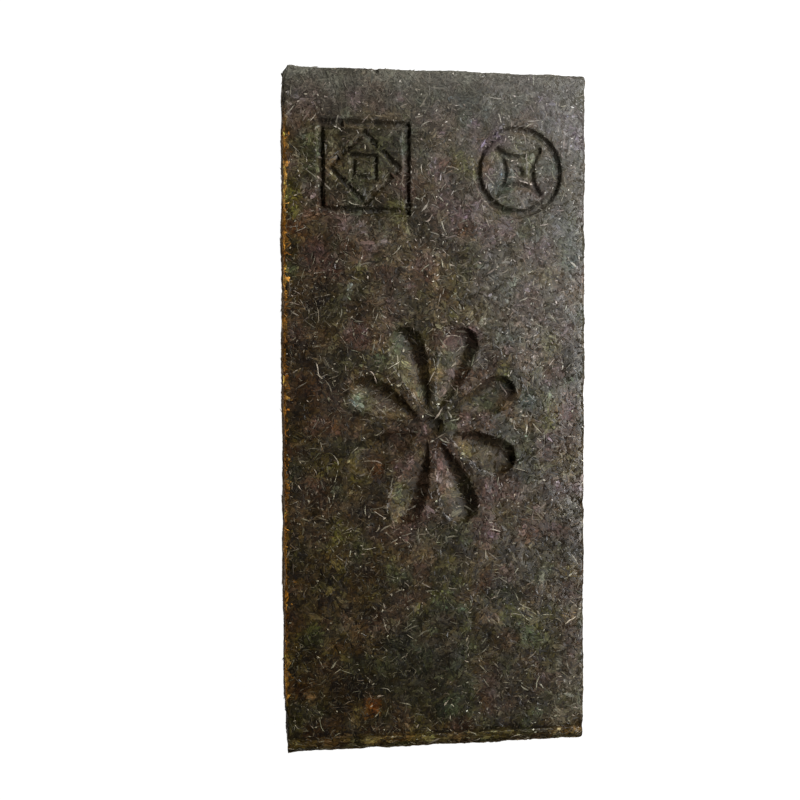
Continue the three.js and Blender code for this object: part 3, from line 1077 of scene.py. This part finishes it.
def bridging(chart, most):
    # Whether a flake's middle is much deeper or higher than its rim, so that it would bridge a groove.
    depth = stampDepth(chart[..., 0], chart[..., 1])
    return np.abs(depth[:, 0] - depth[:, 1:-1].mean(axis=1)) > most


def volumes(place, pattern):
    # A sixth of the sum of the triple products of each shred's faces, measured from its middle.
    wedges = (place - place.mean(axis=1, keepdims=True))[:, pattern]
    return (wedges[:, :, 0] * np.cross(wedges[:, :, 1], wedges[:, :, 2])).sum(axis=(1, 2)) / 6


mapCell = {   # how a shred fills its own cell of the map, in shares of the cell
    "margin": 0.1, "strip": 0.9, "room": 2.1, "underside": 0.12, "topFrom": 0.16, "top": 0.84,
}


def shredPattern(t, corners):
    # One shred's faces, a fan at each end and belts of triangle pairs between the rings, and where each
    # of their corners lies in the cell: as far as t along it, in the strip of its own side.
    rings = len(t) - 2
    tip, last = 1 + corners * rings, 1 + corners * (rings - 1)
    pattern, spotsU, spotsV = [], [], []
    for now in range(corners):
        after = (now + 1) % corners
        low, high = now / corners, (now + mapCell["strip"]) / corners
        centre = (low + high) / 2
        pattern += [(0, 1 + after, 1 + now), (tip, last + now, last + after)]
        spotsU += [(t[0], t[1], t[1]), (t[-1], t[-2], t[-2])]
        spotsV += [(centre, high, low), (centre, low, high)]
        for r in range(rings - 1):
            a, b = 1 + corners * r, 1 + corners * (r + 1)
            pattern += [(a + now, a + after, b + after), (a + now, b + after, b + now)]
            spotsU += [(t[r + 1], t[r + 1], t[r + 2]), (t[r + 1], t[r + 2], t[r + 2])]
            spotsV += [(low, high, high), (low, high, low)]
    return np.array(pattern), np.array(spotsU)[None], np.array(spotsV)[None]


def flakeMap(along, across, pattern):
    # A flake lies flat in its cell, its top in the wider part and its underside beside it.
    def fitted(values):
        return 0.5 + values[:, pattern] / (mapCell["room"] * np.abs(values).max(axis=1)[:, None, None])

    under = (pattern == 0).any(axis=1)[None, :, None]
    u = fitted(along)
    u = np.where(under, mapCell["underside"] * u, mapCell["topFrom"] + mapCell["top"] * u)
    return u, fitted(across)


def laidInCells(u, v, count):
    # Every shred's map moved into its own cell of a square of cells.
    cells = math.ceil(math.sqrt(count))
    column, row = np.arange(count) % cells, np.arange(count) // cells
    room = 1 - 2 * mapCell["margin"]
    u = (column[:, None, None] + mapCell["margin"] + room * u) / cells
    v = (row[:, None, None] + mapCell["margin"] + room * v) / cells
    return np.stack([u, v], axis=-1)


# how much less a kind's own tone shows on the left, and how far it follows the painted sheen and shade
ownTone = {"lessOnLeft": 0.8, "sheenGreying": 0.3}
lightness = (0.001, 0.8)   # the darkest and lightest that a shred may be


def shredColour(kind, spot, facing, shade, hue):
    # One colour for each shred: its patch's, drawn towards its kind's own, shaded and veiled.
    colour = patchColour(spot, facing)
    if kind["ownShare"]:
        own = kind["ownShare"] * (1 - ownTone["lessOnLeft"] * facingLeft(facing))
        colour = drawn(colour, np.array(kind["colour"]) * sheenAndShadeTint(spot, facing) ** ownTone["sheenGreying"], own)
    colour = shaded(colour, shade, kind["paling"]) * (1 + hue)
    return veiled(colour, spot, facing, kind["veil"])


pressing = {   # how much flatter shreds lie in the stamps and the far right, and how much closer in shade
    "depth": (0.2, 1), "flatter": 0.1, "closer": 0.2, "farRight": 0.5,
}
lowestCorner = 0.03


def makeShreds(name, kind):
    # Every shred is sown on a side of the box, turned its own way, folded over the edges and laid on
    # the surface. A flake that would bridge a groove is left out, and so is a shred that the fold over
    # an edge has turned inside out.
    rng = np.random.default_rng(kind["seed"])
    flat, axis, sign, first, second = sowKind(rng, kind)
    onFace = (axis == 2) & (sign > 0)
    along, across, above, t, corners = shredCorners(rng, kind, len(flat))
    angle = shredAngles(rng, flat, axis, onFace)
    shade = rng.normal(0, kind["spread"], len(flat))
    hue = rng.normal(0, kind["hue"], (len(flat), 3))
    flipped = ((axis == 1) & (sign > 0)) | ((axis != 1) & (sign < 0))
    chart = layOut(flat, along, across, angle, first, second, flipped)

    pressed = smoothStep(*pressing["depth"], stampDepth(flat[:, 0], flat[:, 1])) * onFace
    flatter = pressing["flatter"] * pressed + pressing["farRight"] * farRight(flat) * onFace
    above = above * (1 - flatter)[:, None]
    shade = shade * (1 - pressing["closer"] * pressed)
    if kind["flake"]:
        keep = ~(bridging(chart, kind["bridge"]) & onFace)
        chart, above, axis, sign, along, across, shade, hue = keepOnly(
            keep, chart, above, axis, sign, along, across, shade, hue)
    place, outward = brickSurface(foldOntoBox(chart, axis, sign))
    place = place + outward * above[..., None]
    place[..., 2] = np.maximum(place[..., 2], lowestCorner)

    pattern, u, v = shredPattern(t, corners)
    keep = volumes(place, pattern) > 0
    place, outward, along, across, shade, hue = keepOnly(keep, place, outward, along, across, shade, hue)
    count, per = place.shape[:2]
    faces = (pattern[None] + per * np.arange(count)[:, None, None]).reshape(-1, 3)
    mesh = makeMesh(name, place.reshape(-1, 3), faces, kind["sharpAngle"])

    spot, facing = place.mean(axis=1), outward.mean(axis=1)
    colour = np.clip(shredColour(kind, spot, facing, shade, hue), *lightness)
    paint(mesh, *(np.repeat(values, per, axis=0) for values in (colour, spot, facing)))
    if kind["flake"]:
        u, v = flakeMap(along, across, pattern)
    layMap(mesh, laidInCells(u, v, count))
    print(name, count, "shreds", len(faces), "faces")
    return mesh


flake = {
    "flake": True, "shorter": 1.6, "corners": 6, "jitter": 0.3, "sink": 0.3, "dome": (1.05, 0.02),
    "ragged": 0.2, "raggedLimit": 1.6, "tilt": 0.06, "bridge": 0.45, "sharpAngle": 35,
    "grouping": 0, "groupSize": 14, "veil": 1, "paling": (0.86, 1.0, 1.25),
    "spread": 0.43, "hue": 0.03, "ownShare": 0,
}
fibre = {
    "flake": False, "shorter": 2.0, "rings": 3, "sink": 0.12, "tipSink": 0.3, "tip": 0.03, "fullness": 0.4,
    "ragged": 0.2, "raggedLimit": 1.5, "bend": 0.07, "bendMiddle": 0.4, "kink": 0.02, "crest": 0.5,
    "frayShare": 0.06, "fray": 0.8, "leastFray": 0.3, "frayFrom": 0.45, "frayCurl": 1.5, "sharpAngle": 80,
    "grouping": 0, "nearwards": -0.12, "veil": 0.55, "paling": (0.97, 1.0, 1.04),
    "spread": 0.4, "hue": 0.03,
}

# counts on the face, the back, the right, left, far and near sides
shredKinds = {
    "broad_leaves": {
        **flake, "seed": 1, "counts": (6200, 1000, 420, 420, 200, 220), "corners": 7,
        "length": (2.6, 8.0), "width": (1.5, 3.4), "lift": (0.0, 0.1),
    },
    "leaf_flakes": {
        **flake, "seed": 2, "counts": (7600, 1100, 500, 500, 230, 250),
        "length": (1.6, 5.2), "width": (0.7, 2.0), "lift": (0.03, 0.14),
    },
    "leaf_crumbs": {
        **flake, "seed": 8, "counts": (9000, 800, 700, 700, 330, 360), "corners": 5, "spread": 0.5,
        "length": (0.9, 2.8), "width": (0.5, 1.5), "lift": (0.05, 0.17),
    },
    "dark_slivers": {
        **flake, "seed": 3, "counts": (4600, 1000, 800, 800, 400, 420), "grouping": 0.3, "nearwards": 0.6,
        "length": (1.8, 6.5), "width": (0.4, 1.2), "lift": (0.02, 0.15), "spread": 0.5,
        "colour": (0.0075, 0.0055, 0.0028), "ownShare": 0.78,
    },
    "brown_fibres": {
        **fibre, "seed": 4, "counts": (6400, 1200, 900, 900, 400, 430),
        "length": (1.8, 7.0), "width": (0.42, 0.95), "lift": (0.1, 0.24),
        "colour": (0.090, 0.070, 0.050), "ownShare": 0.5,
    },
    "olive_fibres": {
        **fibre, "seed": 5, "counts": (11500, 1500, 1000, 1000, 450, 500), "grouping": 0.42, "groupSize": 18,
        "length": (1.6, 6.6), "width": (0.44, 0.86), "lift": (0.12, 0.26),
        "colour": (0.108, 0.096, 0.070), "ownShare": 0.62,
    },
    "straw_fibres": {
        **fibre, "seed": 6, "counts": (2300, 420, 300, 300, 140, 160), "grouping": 0.45, "groupSize": 16,
        "length": (2.0, 9.5), "width": (0.55, 1.1), "lift": (0.18, 0.34), "rings": 4,
        "frayShare": 0.2, "fray": 1.3, "spread": 0.46,
        "colour": (0.180, 0.157, 0.120), "ownShare": 0.9,
    },
    "pale_chips": {
        **flake, "seed": 7, "counts": (2600, 220, 160, 160, 70, 80), "corners": 4,
        "grouping": 0.5, "nearwards": -0.45, "veil": 0.3, "paling": (0.97, 1.0, 1.04),
        "length": (0.8, 2.2), "width": (0.35, 0.9), "lift": (0.18, 0.32), "spread": 0.6,
        "colour": (0.180, 0.157, 0.120), "ownShare": 0.9,
    },
}

flakeLook = {
    "specular": 0.5, "grain": 1.6, "contrast": 0.5, "glossPatch": 4,
    "roughLow": 0.27, "roughHigh": 0.41, "roughSide": 0.95, "bump": 0.08, "bumpDepth": 0.15,
    "streaks": 0.85, "streakScale": (150, 650),
}
fibreLook = {
    "specular": 0.15, "grain": 0.7, "contrast": 0.4, "glossPatch": 4,
    "roughLow": 0.5, "roughHigh": 0.7, "roughSide": 0.95, "bump": 0.0, "bumpDepth": 0.1, "streaks": 0,
}
flakeMaterial, fibreMaterial = teaMaterial("tea flakes", flakeLook), teaMaterial("tea fibres", fibreLook)
for kindName, kind in shredKinds.items():
    addPiece(kindName, makeShreds(kindName, kind), flakeMaterial if kind["flake"] else fibreMaterial)

for corner in (cadBox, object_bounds()):
    print("box", [[round(v / mm, 2) for v in end] for end in corner])
